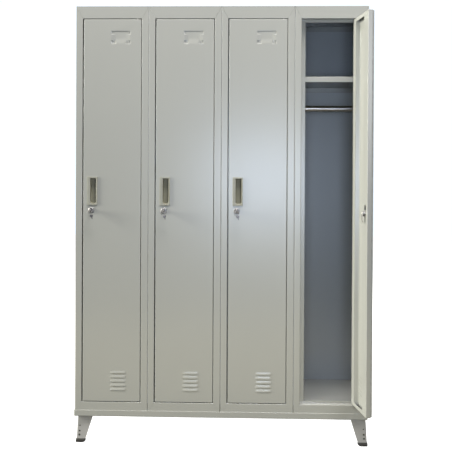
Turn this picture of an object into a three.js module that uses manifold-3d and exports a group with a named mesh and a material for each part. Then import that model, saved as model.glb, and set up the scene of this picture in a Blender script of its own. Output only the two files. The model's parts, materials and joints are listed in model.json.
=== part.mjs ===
// A steel locker cabinet in millimetres: four tall columns side by side, each with one
// hinged door, a hat shelf and a hanging rail, standing on four short folded legs.
// +Z is up and the doors face -Y. The origin is on the floor, under the centre of the
// cabinet as it stands with its fourth door open.

import * as THREE from "three";
import { mergeVertices } from "three/addons/utils/BufferGeometryUtils.js";
import Module from "manifold-3d";

// ---- Driving dimensions ----
const COLUMNS = 4;
const PITCH = 300; // width of one column
const HEIGHT = 1800; // floor to the top of the body
const DEPTH = 500; // front of the door frames to the back
const LEG_HEIGHT = 110;

const SHEET = 0.7; // panels, shelves and door skins
const FRAME_SHEET = 0.9;
const FIT = 0.3; // between pieces that are riveted or welded together

// Base pan: a shallow tray round the bottom of the body.
const PAN_SHEET = 1.2;
const PAN_WALL = 25;
const PAN_SIDE_PROUD = 4; // outside the side panels
const PAN_FACE_PROUD = 2; // outside the frames and the back

// Door frames, one per column.
const HINGE_STILE = 28.8;
const LATCH_STILE = 26.3;
const TOP_RAIL = 50.7;
const BOTTOM_RAIL = 59.6;
const RETURN_DEPTH = 30; // outer edge of the frame, folded back
const STOP_FACE = 27; // front of the stop lip, behind the frame's face
const STOP_LIP_HINGE = 15;
const STOP_LIP_LATCH = 17.5;
const STOP_LIP_TOP = 13;
const STOP_LIP_BOTTOM = 10;

// Doors.
const DOOR_GAP = 2.5; // at the hinge edge, the top and the bottom
const DOOR_THICKNESS = 18;
const DOOR_LIP = 15; // turned in across the back of the door, top and bottom
const HINGE_BOX = 45; // the hinge edge is folded into a box section this wide
const HINGE_INSET = 16; // pin centre to the door's hinge edge
const HINGE_SETBACK = 6; // pin centre behind the door's face
const OPEN_DOOR = 4;
const OPEN_ANGLE = THREE.MathUtils.degToRad(98);

// Hinge pins.
const PIN_RADIUS = 3;
const PIN_FRAME_HOLE = 3.4;
const PIN_DOOR_HOLE = 3.6;
const PIN_REACH = 13; // into the frame above and below, and into the door

// Stiffening channel behind the latch side of the door.
const CHANNEL_WIDTH = 64;
const CHANNEL_FOOT = 11;
const WINDOW_WIDTH = 26;
const WINDOW_HEIGHT = 21;
const WINDOW_ABOVE_LOCK = 12;

// Recessed handle and the lock under it.
const HANDLE_INSET = 37; // handle's centre, in from the latch edge
const HANDLE_Z = 1040;
const BEZEL_WIDTH = 42;
const BEZEL_HEIGHT = 118;
const BEZEL_CORNER = 4;
const BEZEL_THICKNESS = 2.7;
const CUP_OFFSET = 4; // cup's centre, from the handle's towards the hinge
const CUP_WIDTH = 26;
const CUP_HEIGHT = 106;
const CUP_CORNER = 11;
const CUP_DEPTH = 14;
const CUP_WALL = 2;
const LOCK_INSET = 33; // lock's centre, in from the latch edge
const LOCK_Z = 960;
const LOCK_FLANGE_RADIUS = 12;
const LOCK_FLANGE = 3;
const LOCK_BODY_RADIUS = 9.5;
const LOCK_NUT_RADIUS = 12.5;
const LOCK_NUT = 4;
const PLUG_RADIUS = 6;
const PLUG_BORE_RADIUS = 6.4;
const CAM_LENGTH = 35;
const CAM_WIDTH = 14;
const CAM_THICKNESS = 2;
const CAM_SCREW_RADIUS = 5;
const CAM_SCREW_HEAD = 2.4;
const KEYWAY_WIDTH = 2.4;
const KEYWAY_HEIGHT = 9;
const KEYWAY_DEPTH = 18;
const KEY_THICKNESS = 1.8;
const KEY_BLADE = 7.6;
const KEY_BOW = 22;
const KEY_SHANK = 5; // blade that shows between the lock and the bow
const KEYS_IN_LOCKS = 3; // the open door's key has been taken out

// Card frame and louvres, pressed in the door skin.
const CARD_OFFSET = 34; // from the door's centre, towards the hinge
const CARD_Z = 1672;
const CARD_WIDTH = 77;
const CARD_HEIGHT = 51;
const CARD_GROOVE = 4;
const CARD_SINK = 0.35;
const CARD_TAB = 16;
const LOUVRES = 5;
const LOUVRE_PITCH = 17.5;
const LOUVRE_OFFSET = 27;
const LOUVRE_WIDTH = 65;
const LOUVRE_HEIGHT = 11;
const LOUVRE_RISE = 4.5;
const LOUVRE_LOWEST = 218;

// Inside each column.
const FLOOR_TOP = 166;
const FLOOR_FLANGE = 40;
const SHELF_TOP = 1515;
const SHELF_LIP = 22;
const SHELF_RETURN = 9;
const SHELF_WIDTH = 293;
const RAIL_Z = 1400;
const RAIL_RADIUS = 12.5;
const RAIL_WALL = 1.2;
const RAIL_LENGTH = 297;
const BACK_FLANGE = 15;
const TOP_REAR_FLANGE = 25;
const TOP_FLANGE_WIDTH = 292;

// Legs: an L section that tapers and splays towards the floor, in a moulded shoe.
const LEG_SHEET = 1.8;
const LEG_INSET = 10; // corner of the leg, in from the body's front and back
const LEG_INSET_LEFT = 11;
const LEG_INSET_RIGHT = 3;
const LEG_SPLAY = 6;
const LEG_TOP_WING = 62;
const LEG_FOOT_WING = 33;
const LEG_HOLES = [
  { z: 31, radius: 3.5 },
  { z: 47, radius: 3.5 },
  { z: 69, radius: 2.2 },
];
const LEG_HOLE_INSET = 11;
const SHOE_HEIGHT = 16;
const SHOE_SOLE = 3;
const SHOE_WALL = 2.6;

// ---- Derived places ----
const WIDTH = COLUMNS * PITCH;
const OPENING_LEFT = LATCH_STILE - PITCH / 2; // from the column's centre line
const OPENING_RIGHT = PITCH / 2 - HINGE_STILE;
const OPENING_BOTTOM = LEG_HEIGHT + BOTTOM_RAIL;
const OPENING_TOP = HEIGHT - TOP_RAIL;
const DOOR_WIDTH = 2 * (OPENING_RIGHT - DOOR_GAP);
const DOOR_BOTTOM = OPENING_BOTTOM + DOOR_GAP;
const DOOR_TOP = OPENING_TOP - DOOR_GAP;
const DOOR_SWING = DOOR_WIDTH - HINGE_INSET; // pin to latch edge
const DOOR_FACE = -HINGE_SETBACK; // door places are measured from its pin
const DOOR_REAR = DOOR_THICKNESS - HINGE_SETBACK;
const CAM_FACE = STOP_FACE + FRAME_SHEET + 2 * FIT; // the cam passes just behind the stop lip
const HINGE_X = OPENING_RIGHT - DOOR_GAP - HINGE_INSET;
const HANDLE_X = HANDLE_INSET - DOOR_SWING;
const CUP_X = HANDLE_X + CUP_OFFSET;
const LOCK_X = LOCK_INSET - DOOR_SWING;

// How far the open door stands out in front sets where the origin falls.
const OPEN_REACH = DOOR_SWING * Math.sin(OPEN_ANGLE) - DOOR_REAR * Math.cos(OPEN_ANGLE) - HINGE_SETBACK;
const FRONT = (OPEN_REACH - DEPTH - PAN_FACE_PROUD) / 2;
const BACK = FRONT + DEPTH;
const SHELL_BOTTOM = LEG_HEIGHT + PAN_SHEET + FIT; // the sides and frames stand in the pan
const PAN_TOP = LEG_HEIGHT + PAN_WALL; // and the back stands on its wall
const SHELL_TOP = HEIGHT - SHEET - FIT; // and stop under the top panel

// ---- Finishes ----
const PAINT = { color: 0xb0b1a9, roughness: 0.42, metalness: 0 };
const INSIDE_PAINT = { color: 0xa4a8aa, roughness: 0.5, metalness: 0 };
const CHROME = { color: 0xc9c6c0, roughness: 0.18, metalness: 1 };
const ZINC = { color: 0x9c9a92, roughness: 0.35, metalness: 1 };
const OLIVE_PLASTIC = { color: 0x96967f, roughness: 0.5, metalness: 0 };
const BLACK_PLASTIC = { color: 0x22201c, roughness: 0.6, metalness: 0 };

const wasm = await Module();
wasm.setup();

// ---- Solids and outlines ----
function toSolid(geometry) {
  const bare = geometry.clone();
  bare.deleteAttribute("normal");
  bare.deleteAttribute("uv");
  const merged = mergeVertices(bare, 1e-4);
  const mesh = new wasm.Mesh({
    numProp: 3,
    vertProperties: new Float32Array(merged.attributes.position.array),
    triVerts: new Uint32Array(merged.index.array),
  });
  return new wasm.Manifold(mesh);
}

function toGeometry(solid) {
  const { vertProperties, triVerts } = solid.getMesh();
  const geometry = new THREE.BufferGeometry();
  geometry.setAttribute("position", new THREE.BufferAttribute(vertProperties, 3));
  geometry.setIndex(new THREE.BufferAttribute(triVerts, 1));
  geometry.computeVertexNormals();
  return geometry;
}

function piece(name, solid, finish) {
  const mesh = new THREE.Mesh(toGeometry(solid), new THREE.MeshStandardMaterial(finish));
  mesh.name = name;
  return mesh;
}

function toShape(outline) {
  if (outline instanceof THREE.Shape) return outline;
  return new THREE.Shape(outline.map(([a, b]) => new THREE.Vector2(a, b)));
}

// An outline pushed along one axis, from one place on it to another. Its points are
// (y, z) along x, (x, z) along y and (x, y) along z.
function prism(axis, outline, from, to, hole = null) {
  const shape = toShape(outline).clone();
  shape.holes = hole ? [toShape(hole)] : [];
  const settings = { depth: to - from, bevelEnabled: false, curveSegments: 8 };
  const geometry = new THREE.ExtrudeGeometry(shape, settings);
  if (axis === "y") {
    geometry.rotateX(Math.PI / 2);
    geometry.translate(0, to, 0);
  } else {
    geometry.translate(0, 0, from);
  }
  if (axis === "x") {
    const [u, v, w] = [[0, 1, 0], [0, 0, 1], [1, 0, 0]].map((axes) => new THREE.Vector3(...axes));
    geometry.applyMatrix4(new THREE.Matrix4().makeBasis(u, v, w));
  }
  return toSolid(geometry);
}

function block(x, y, z) {
  return prism("z", rectangle(x[0], x[1], y[0], y[1]), z[0], z[1]);
}

function rectangle(a0, a1, b0, b1) {
  return [[a0, b0], [a1, b0], [a1, b1], [a0, b1]];
}

function disc(a, b, radius, sides = 20) {
  return Array.from({ length: sides }, (_, i) => {
    const angle = (2 * Math.PI * i) / sides;
    return [a + radius * Math.cos(angle), b + radius * Math.sin(angle)];
  });
}

// Square across the top, with round lower corners.
function pocketOutline(x, z, width, height, corner) {
  const [left, right] = [x - width / 2, x + width / 2];
  const [bottom, top] = [z - height / 2, z + height / 2];
  const shape = new THREE.Shape();
  shape.moveTo(right, top);
  shape.lineTo(left, top);
  shape.absarc(left + corner, bottom + corner, corner, Math.PI, 1.5 * Math.PI, false);
  shape.absarc(right - corner, bottom + corner, corner, 1.5 * Math.PI, 2 * Math.PI, false);
  return shape;
}

// The section of a sheet folded along a path, with mitred corners.
function foldedSheet(path, thickness) {
  const points = path.map(([a, b]) => new THREE.Vector2(a, b));
  const legs = points.slice(1).map((point, i) => point.clone().sub(points[i]).normalize());
  const normals = legs.map((leg) => new THREE.Vector2(-leg.y, leg.x));
  const side = (offset) => points.map((point, i) => {
    const first = normals[Math.max(i - 1, 0)];
    const last = normals[Math.min(i, normals.length - 1)];
    const mitre = first.clone().add(last);
    return point.clone().addScaledVector(mitre, offset / mitre.dot(first)).toArray();
  });
  return [...side(thickness / 2), ...side(-thickness / 2).reverse()];
}

// A solid between two outlines of as many points, one above the other.
function loft(lower, lowerZ, upper, upperZ) {
  const clockwise = THREE.ShapeUtils.isClockWise(lower.map(([x, y]) => new THREE.Vector2(x, y)));
  const foot = clockwise ? [...lower].reverse() : lower;
  const head = clockwise ? [...upper].reverse() : upper;
  const count = foot.length;
  const corners = [...foot.map(([x, y]) => [x, y, lowerZ]), ...head.map(([x, y]) => [x, y, upperZ])];
  const faces = [];
  for (let i = 0; i < count; i += 1) {
    const j = (i + 1) % count;
    faces.push(i, j, count + j, i, count + j, count + i);
  }
  const cap = THREE.ShapeUtils.triangulateShape(foot.map(([x, y]) => new THREE.Vector2(x, y)), []);
  for (const [a, b, c] of cap) {
    faces.push(c, b, a, count + a, count + b, count + c);
  }
  const geometry = new THREE.BufferGeometry();
  geometry.setAttribute("position", new THREE.Float32BufferAttribute(corners.flat(), 3));
  geometry.setIndex(faces);
  return toSolid(geometry);
}

// ---- Shell ----
function sidePanel(name, sign) {
  const x = (sign * WIDTH) / 2;
  const across = [Math.min(x, x - sign * SHEET), Math.max(x, x - sign * SHEET)];
  const panel = block(across, [FRONT + FRAME_SHEET + FIT, BACK], [SHELL_BOTTOM, SHELL_TOP]);
  return piece(name, panel, PAINT);
}

function backPanel() {
  const x = WIDTH / 2 - SHEET - FIT - SHEET / 2;
  const y = BACK - SHEET / 2;
  const path = [[-x, y - BACK_FLANGE], [-x, y], [x, y], [x, y - BACK_FLANGE]];
  return piece("back_panel", prism("z", foldedSheet(path, SHEET), PAN_TOP + FIT, SHELL_TOP), PAINT);
}

// The flange at the back is cut away at each partition.
function topPanel() {
  const y = BACK - SHEET - FIT;
  let panel = block([-WIDTH / 2, WIDTH / 2], [FRONT + FRAME_SHEET + FIT, BACK], [HEIGHT - SHEET, HEIGHT]);
  for (let column = 1; column <= COLUMNS; column += 1) {
    const x = columnCentre(column);
    const across = [x - TOP_FLANGE_WIDTH / 2, x + TOP_FLANGE_WIDTH / 2];
    panel = panel.add(block(across, [y - SHEET, y], [HEIGHT - TOP_REAR_FLANGE, HEIGHT - SHEET / 2]));
  }
  return piece("top_panel", panel, PAINT);
}

function floorPanel() {
  const front = FRONT + RETURN_DEPTH + FIT + SHEET / 2;
  const rear = BACK - SHEET - FIT - SHEET / 2;
  const top = FLOOR_TOP - SHEET / 2;
  const half = WIDTH / 2 - 2 * (SHEET + FIT);
  const path = [[front, top - FLOOR_FLANGE], [front, top], [rear, top], [rear, top - FLOOR_FLANGE]];
  return piece("floor_panel", prism("x", foldedSheet(path, SHEET), -half, half), INSIDE_PAINT);
}

function basePan() {
  const x = WIDTH / 2 + PAN_SIDE_PROUD;
  const front = FRONT - PAN_FACE_PROUD;
  const rear = BACK + PAN_FACE_PROUD;
  const outer = rectangle(-x, x, front, rear);
  const inset = rectangle(-x + PAN_SHEET, x - PAN_SHEET, front + PAN_SHEET, rear - PAN_SHEET);
  const plate = prism("z", outer, LEG_HEIGHT, LEG_HEIGHT + PAN_SHEET);
  const wall = prism("z", outer, LEG_HEIGHT, PAN_TOP, inset);
  return piece("base_pan", plate.add(wall), PAINT);
}

function partition(number) {
  const x = number * PITCH - WIDTH / 2;
  const deep = [FRONT + FRAME_SHEET + FIT, BACK - SHEET - FIT];
  const panel = block([x - SHEET / 2, x + SHEET / 2], deep, [FLOOR_TOP + FIT, SHELL_TOP]);
  return piece(`partition_${number}`, panel, INSIDE_PAINT);
}

// ---- Legs ----
// The L section of a leg at a height, grown by a margin all round.
function legSection(sideways, rearwards, z, margin) {
  const drop = 1 - z / LEG_HEIGHT;
  const inset = sideways < 0 ? LEG_INSET_LEFT : LEG_INSET_RIGHT;
  const cornerX = WIDTH / 2 - inset + LEG_SPLAY * drop;
  const cornerY = DEPTH / 2 - LEG_INSET + LEG_SPLAY * drop;
  const wing = THREE.MathUtils.lerp(LEG_TOP_WING, LEG_FOOT_WING, drop) + margin;
  const sheet = LEG_SHEET + margin;
  const near = -margin;
  const inward = [[near, near], [wing, near], [wing, sheet], [sheet, sheet], [sheet, wing], [near, wing]];
  const middle = FRONT + DEPTH / 2;
  return inward.map(([u, v]) => [sideways * (cornerX - u), middle + rearwards * (cornerY - v)]);
}

function legLoft(sideways, rearwards, bottom, top, margin) {
  const lower = legSection(sideways, rearwards, bottom, margin);
  const upper = legSection(sideways, rearwards, top, margin);
  return loft(lower, bottom, upper, top);
}

function leg(name, sideways, rearwards) {
  const top = LEG_HEIGHT - FIT;
  let solid = legLoft(sideways, rearwards, SHOE_SOLE + FIT, top, 0);
  const [corner, , , , , end] = legSection(sideways, rearwards, LEG_HEIGHT, 0);
  const reach = corner[0] - sideways * LEG_TOP_WING;
  const across = [Math.min(corner[0], reach), Math.max(corner[0], reach)];
  const along = [Math.min(corner[1], end[1]), Math.max(corner[1], end[1])];
  solid = solid.add(block(across, along, [top - LEG_SHEET, top]));
  for (const { z, radius } of LEG_HOLES) {
    const [[x, y]] = legSection(sideways, rearwards, z, 0);
    const holeX = x - sideways * LEG_HOLE_INSET;
    const holeY = y - rearwards * LEG_HOLE_INSET;
    const reachY = [y - 2 * LEG_SHEET, y + 2 * LEG_SHEET];
    const reachX = [x - 2 * LEG_SHEET, x + 2 * LEG_SHEET];
    solid = solid.subtract(prism("y", disc(holeX, z, radius, 16), ...reachY));
    solid = solid.subtract(prism("x", disc(holeY, z, radius, 16), ...reachX));
  }
  return piece(name, solid, PAINT);
}

function shoe(name, sideways, rearwards) {
  const outer = legLoft(sideways, rearwards, 0, SHOE_HEIGHT, SHOE_WALL);
  const slot = legLoft(sideways, rearwards, SHOE_SOLE, SHOE_HEIGHT + 1, FIT);
  return piece(name, outer.subtract(slot), BLACK_PLASTIC);
}

function addLegs(parent) {
  for (const [end, rearwards] of [["front", -1], ["rear", 1]]) {
    for (const [side, sideways] of [["left", -1], ["right", 1]]) {
      parent.add(leg(`leg_${end}_${side}`, sideways, rearwards));
      parent.add(shoe(`shoe_${end}_${side}`, sideways, rearwards));
    }
  }
}

// ---- Inside a column, measured from the column's centre line ----
function columnCentre(column) {
  return (column - 0.5) * PITCH - WIDTH / 2;
}

// A folded picture frame: a face, a return round its outer edge, a jamb round the
// opening, and a stop lip turned in from the jamb behind the door.
function doorFrame(column) {
  const edge = (atEnd) => PITCH / 2 - (atEnd ? 0 : FIT);
  const inset = (atEnd) => (atEnd ? SHEET + FIT : SHEET / 2);
  const [left, right] = [column === 1, column === COLUMNS];
  const opening = (grow) => rectangle(
    OPENING_LEFT - grow, OPENING_RIGHT + grow, OPENING_BOTTOM - grow, OPENING_TOP + grow);
  const face = rectangle(-edge(left), edge(right), SHELL_BOTTOM, HEIGHT);
  const returned = (grow) => rectangle(
    inset(left) - edge(left) + grow, edge(right) - inset(right) - grow,
    SHELL_BOTTOM + grow, SHELL_TOP - grow);
  const jambRear = FRONT + STOP_FACE + FRAME_SHEET;
  let solid = prism("y", face, FRONT, FRONT + FRAME_SHEET, opening(0));
  solid = solid.add(prism("y", returned(0), FRONT, FRONT + RETURN_DEPTH, returned(FRAME_SHEET)));
  solid = solid.add(prism("y", opening(FRAME_SHEET), FRONT, jambRear, opening(0)));
  const lipOpening = rectangle(
    OPENING_LEFT + STOP_LIP_LATCH, OPENING_RIGHT - STOP_LIP_HINGE,
    OPENING_BOTTOM + STOP_LIP_BOTTOM, OPENING_TOP - STOP_LIP_TOP);
  solid = solid.add(prism("y", opening(FRAME_SHEET), FRONT + STOP_FACE, jambRear, lipOpening));
  const hole = disc(HINGE_X, FRONT + HINGE_SETBACK, PIN_FRAME_HOLE, 16);
  for (const z of [OPENING_BOTTOM, OPENING_TOP]) {
    solid = solid.subtract(prism("z", hole, z - 2 * FRAME_SHEET, z + 2 * FRAME_SHEET));
  }
  return piece(`door_frame_${column}`, solid, PAINT);
}

function shelf(column) {
  const front = FRONT + RETURN_DEPTH + 2 * FRAME_SHEET;
  const rear = BACK - 2 * FRAME_SHEET - SHEET / 2;
  const top = SHELF_TOP - SHEET / 2;
  const foot = SHELF_TOP - SHELF_LIP;
  const path = [[front + SHELF_RETURN, foot], [front, foot], [front, top], [rear, top], [rear, foot]];
  const solid = prism("x", foldedSheet(path, SHEET), -SHELF_WIDTH / 2, SHELF_WIDTH / 2);
  return piece(`shelf_${column}`, solid, INSIDE_PAINT);
}

function hangingRail(column) {
  const y = FRONT + DEPTH / 2;
  const outer = disc(y, RAIL_Z, RAIL_RADIUS, 24);
  const bore = disc(y, RAIL_Z, RAIL_RADIUS - RAIL_WALL, 24);
  return piece(`hanging_rail_${column}`, prism("x", outer, -RAIL_LENGTH / 2, RAIL_LENGTH / 2, bore), CHROME);
}

function addHingePins(parent, column) {
  const outline = disc(HINGE_X, FRONT + HINGE_SETBACK, PIN_RADIUS, 16);
  const lower = prism("z", outline, OPENING_BOTTOM - PIN_REACH, DOOR_BOTTOM + PIN_REACH);
  const upper = prism("z", outline, DOOR_TOP - PIN_REACH, OPENING_TOP + PIN_REACH);
  parent.add(piece(`hinge_pin_lower_${column}`, lower, ZINC));
  parent.add(piece(`hinge_pin_upper_${column}`, upper, ZINC));
}

// ---- A door, measured from its hinge pins: the latch edge is towards -X ----
function louvres() {
  const x = HINGE_INSET - DOOR_WIDTH / 2 + LOUVRE_OFFSET;
  const inner = DOOR_FACE + SHEET;
  const hoods = [];
  const mouths = [];
  for (let i = 0; i < LOUVRES; i += 1) {
    const low = LOUVRE_LOWEST + i * LOUVRE_PITCH;
    const high = low + LOUVRE_HEIGHT;
    const hood = [[inner, low], [inner, high], [DOOR_FACE, high], [DOOR_FACE - LOUVRE_RISE, low]];
    const mouth = [
      [inner + SHEET, low - SHEET],
      [inner + SHEET, high - 2 * SHEET],
      [DOOR_FACE + SHEET / 2, high - 2 * SHEET],
      [DOOR_FACE - LOUVRE_RISE + SHEET, low - SHEET],
    ];
    hoods.push(prism("x", hood, x - LOUVRE_WIDTH / 2, x + LOUVRE_WIDTH / 2));
    mouths.push(prism("x", mouth, x - LOUVRE_WIDTH / 2 + SHEET, x + LOUVRE_WIDTH / 2 - SHEET));
  }
  return { hoods, mouths };
}

// A groove round the top and sides of the card, with a short foot at each lower corner.
function cardGroove() {
  const x = HINGE_INSET - DOOR_WIDTH / 2 + CARD_OFFSET;
  const [low, high] = [CARD_Z - CARD_HEIGHT / 2, CARD_Z + CARD_HEIGHT / 2];
  const half = CARD_WIDTH / 2;
  const foot = half - CARD_TAB;
  const path = [[-foot, low], [-half, low], [-half, high], [half, high], [half, low], [foot, low]];
  const groove = foldedSheet(path.map(([a, b]) => [x + a, b]), CARD_GROOVE);
  return prism("y", groove, DOOR_FACE - SHEET, DOOR_FACE + CARD_SINK);
}

function doorPan(column) {
  const outline = (grow) => rectangle(
    -DOOR_SWING - grow, HINGE_INSET + grow, DOOR_BOTTOM - grow, DOOR_TOP + grow);
  const lipFrom = DOOR_REAR - SHEET;
  let solid = prism("y", outline(0), DOOR_FACE, DOOR_FACE + SHEET);
  solid = solid.add(prism("y", outline(0), DOOR_FACE, DOOR_REAR, outline(-SHEET)));
  const boxEdge = HINGE_INSET - HINGE_BOX;
  const lipOpening = rectangle(
    -DOOR_SWING + SHEET, boxEdge, DOOR_BOTTOM + DOOR_LIP, DOOR_TOP - DOOR_LIP);
  solid = solid.add(prism("y", outline(0), lipFrom, DOOR_REAR, lipOpening)).subtract(cardGroove());
  const boxWall = [DOOR_BOTTOM + SHEET + FIT, DOOR_TOP - SHEET - FIT];
  solid = solid.add(block([boxEdge, boxEdge + SHEET], [DOOR_FACE + SHEET + FIT, DOOR_REAR], boxWall));
  const { hoods, mouths } = louvres();
  for (const hood of hoods) solid = solid.add(hood);
  for (const mouth of mouths) solid = solid.subtract(mouth);
  const through = [DOOR_FACE - 1, DOOR_FACE + SHEET + 1];
  const [holeWidth, holeHeight] = [CUP_WIDTH + 2 * FIT, CUP_HEIGHT + 2 * FIT];
  const handleHole = pocketOutline(CUP_X, HANDLE_Z, holeWidth, holeHeight, CUP_CORNER + FIT);
  solid = solid.subtract(prism("y", handleHole, ...through));
  solid = solid.subtract(prism("y", disc(LOCK_X, LOCK_Z, LOCK_BODY_RADIUS + FIT), ...through));
  for (const z of [DOOR_BOTTOM, DOOR_TOP]) {
    solid = solid.subtract(prism("z", disc(0, 0, PIN_DOOR_HOLE, 16), z - 2 * SHEET, z + 2 * SHEET));
  }
  return piece(`door_panel_${column}`, solid, PAINT);
}

// A hat section against the latch edge, closed at both ends, with a window over the lock.
function doorChannel(column) {
  const half = SHEET / 2;
  const nearSkin = DOOR_FACE + SHEET + FIT + half;
  const rear = DOOR_REAR - half;
  const latch = -DOOR_SWING + SHEET + FIT + half;
  const hinge = latch + CHANNEL_WIDTH;
  const hat = [[latch, nearSkin], [latch, rear], [hinge, rear], [hinge, nearSkin]];
  const path = [...hat, [hinge + CHANNEL_FOOT, nearSkin]];
  const [from, to] = [DOOR_BOTTOM + DOOR_LIP + FIT, DOOR_TOP - DOOR_LIP - FIT];
  let solid = prism("z", foldedSheet(path, SHEET), from, to);
  for (const end of [from, to - SHEET]) solid = solid.add(prism("z", hat, end, end + SHEET));
  const through = [DOOR_REAR - 2 * SHEET, DOOR_REAR + SHEET];
  const windowLow = LOCK_Z + WINDOW_ABOVE_LOCK;
  const window = [
    [LOCK_X - WINDOW_WIDTH / 2, windowLow],
    [LOCK_X + WINDOW_WIDTH / 2, windowLow],
    [LOCK_X + WINDOW_WIDTH / 4, windowLow + WINDOW_HEIGHT],
    [LOCK_X - WINDOW_WIDTH / 4, windowLow + WINDOW_HEIGHT],
  ];
  solid = solid.subtract(prism("y", window, ...through));
  solid = solid.subtract(prism("y", disc(LOCK_X, LOCK_Z, LOCK_BODY_RADIUS + FIT), ...through));
  return piece(`door_channel_${column}`, solid, PAINT);
}

function handle(column) {
  const face = DOOR_FACE - FIT;
  const pocket = (shrink) => pocketOutline(
    CUP_X, HANDLE_Z, CUP_WIDTH - 2 * shrink, CUP_HEIGHT - 2 * shrink, CUP_CORNER - shrink);
  const bezel = pocketOutline(HANDLE_X, HANDLE_Z, BEZEL_WIDTH, BEZEL_HEIGHT, BEZEL_CORNER);
  const cupRear = DOOR_FACE + CUP_DEPTH;
  let solid = prism("y", bezel, face - BEZEL_THICKNESS, face);
  solid = solid.add(prism("y", pocket(0), face - BEZEL_THICKNESS, cupRear));
  solid = solid.subtract(prism("y", pocket(CUP_WALL), face - 2 * BEZEL_THICKNESS, cupRear - CUP_WALL));
  return piece(`handle_${column}`, solid, OLIVE_PLASTIC);
}

// ---- A lock, measured from its axis at the door's face ----
function lockHousing(column) {
  const nutFrom = DOOR_THICKNESS + FIT;
  let solid = prism("y", disc(0, 0, LOCK_FLANGE_RADIUS, 24), -FIT - LOCK_FLANGE, -FIT);
  solid = solid.add(prism("y", disc(0, 0, LOCK_BODY_RADIUS), -FIT - LOCK_FLANGE, CAM_FACE - 2 * FIT));
  solid = solid.add(prism("y", disc(0, 0, LOCK_NUT_RADIUS, 6), nutFrom, nutFrom + LOCK_NUT));
  solid = solid.subtract(prism("y", disc(0, 0, PLUG_BORE_RADIUS), -2 * LOCK_FLANGE, CAM_FACE));
  return piece(`lock_housing_${column}`, solid, CHROME);
}

// The plug that the key turns, and the cam screwed to its end. The cam hangs down when
// the lock is open, and points to the latch side when it is shut.
function lockCam(column) {
  const plugFace = -LOCK_FLANGE;
  const camRear = CAM_FACE + CAM_THICKNESS;
  const cam = new THREE.Shape();
  cam.moveTo(-CAM_WIDTH / 2, 0);
  cam.lineTo(-CAM_WIDTH / 2, CAM_WIDTH / 2 - CAM_LENGTH);
  cam.absarc(0, CAM_WIDTH / 2 - CAM_LENGTH, CAM_WIDTH / 2, Math.PI, 2 * Math.PI, false);
  cam.lineTo(CAM_WIDTH / 2, 0);
  cam.absarc(0, 0, CAM_WIDTH / 2, 0, Math.PI, false);
  let solid = prism("y", disc(0, 0, PLUG_RADIUS), plugFace, CAM_FACE);
  solid = solid.add(prism("y", cam, CAM_FACE, camRear));
  solid = solid.add(prism("y", disc(0, 0, CAM_SCREW_RADIUS, 16), camRear, camRear + CAM_SCREW_HEAD));
  const keyway = rectangle(-KEYWAY_WIDTH / 2, KEYWAY_WIDTH / 2, -KEYWAY_HEIGHT / 2, KEYWAY_HEIGHT / 2);
  solid = solid.subtract(prism("y", keyway, 2 * plugFace, plugFace + KEYWAY_DEPTH));
  return piece(`lock_cam_${column}`, solid, ZINC);
}

function key(column) {
  const bowRear = -LOCK_FLANGE - KEY_SHANK;
  const bowCentre = bowRear - KEY_BOW / 2;
  const tip = KEYWAY_DEPTH - LOCK_FLANGE - 1;
  const [from, to] = [-KEY_THICKNESS / 2, KEY_THICKNESS / 2];
  const blade = rectangle(bowCentre, tip, -KEY_BLADE / 2, KEY_BLADE / 2);
  const ringHole = disc(bowCentre - KEY_BOW / 4, 0, KEY_BOW / 8, 12);
  let solid = prism("x", disc(bowCentre, 0, KEY_BOW / 2, 24), from, to);
  solid = solid.add(prism("x", blade, from, to)).subtract(prism("x", ringHole, from - 1, to + 1));
  return piece(`key_${column}`, solid, CHROME);
}

function addLock(parent, column) {
  const lock = new THREE.Group();
  lock.position.set(LOCK_X, DOOR_FACE, LOCK_Z);
  lock.add(lockHousing(column), lockCam(column));
  if (column <= KEYS_IN_LOCKS) lock.add(key(column));
  parent.add(lock);
}

function addDoor(parent, column) {
  const door = new THREE.Group();
  door.position.set(HINGE_X, FRONT + HINGE_SETBACK, 0);
  door.rotation.z = column === OPEN_DOOR ? OPEN_ANGLE : 0;
  door.add(doorPan(column), doorChannel(column), handle(column));
  addLock(door, column);
  parent.add(door);
}

function addColumn(parent, number) {
  const column = new THREE.Group();
  column.position.x = columnCentre(number);
  column.add(doorFrame(number), shelf(number), hangingRail(number));
  addHingePins(column, number);
  addDoor(column, number);
  parent.add(column);
}

// ---- The cabinet ----
const cabinet = new THREE.Group();
cabinet.add(sidePanel("side_panel_left", -1), sidePanel("side_panel_right", 1));
cabinet.add(backPanel(), topPanel(), floorPanel(), basePan());
for (let number = 1; number < COLUMNS; number += 1) {
  cabinet.add(partition(number));
}
addLegs(cabinet);
for (let number = 1; number <= COLUMNS; number += 1) {
  addColumn(cabinet, number);
}

export default cabinet;
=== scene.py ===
# A steel locker cabinet: four tall columns with a hinged door each, a hat shelf and a
# hanging rail inside, on four short folded legs. Metres, +Z up, the doors face -Y.

import json
import math

import bmesh
import bpy
from mathutils import Matrix, Vector


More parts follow.
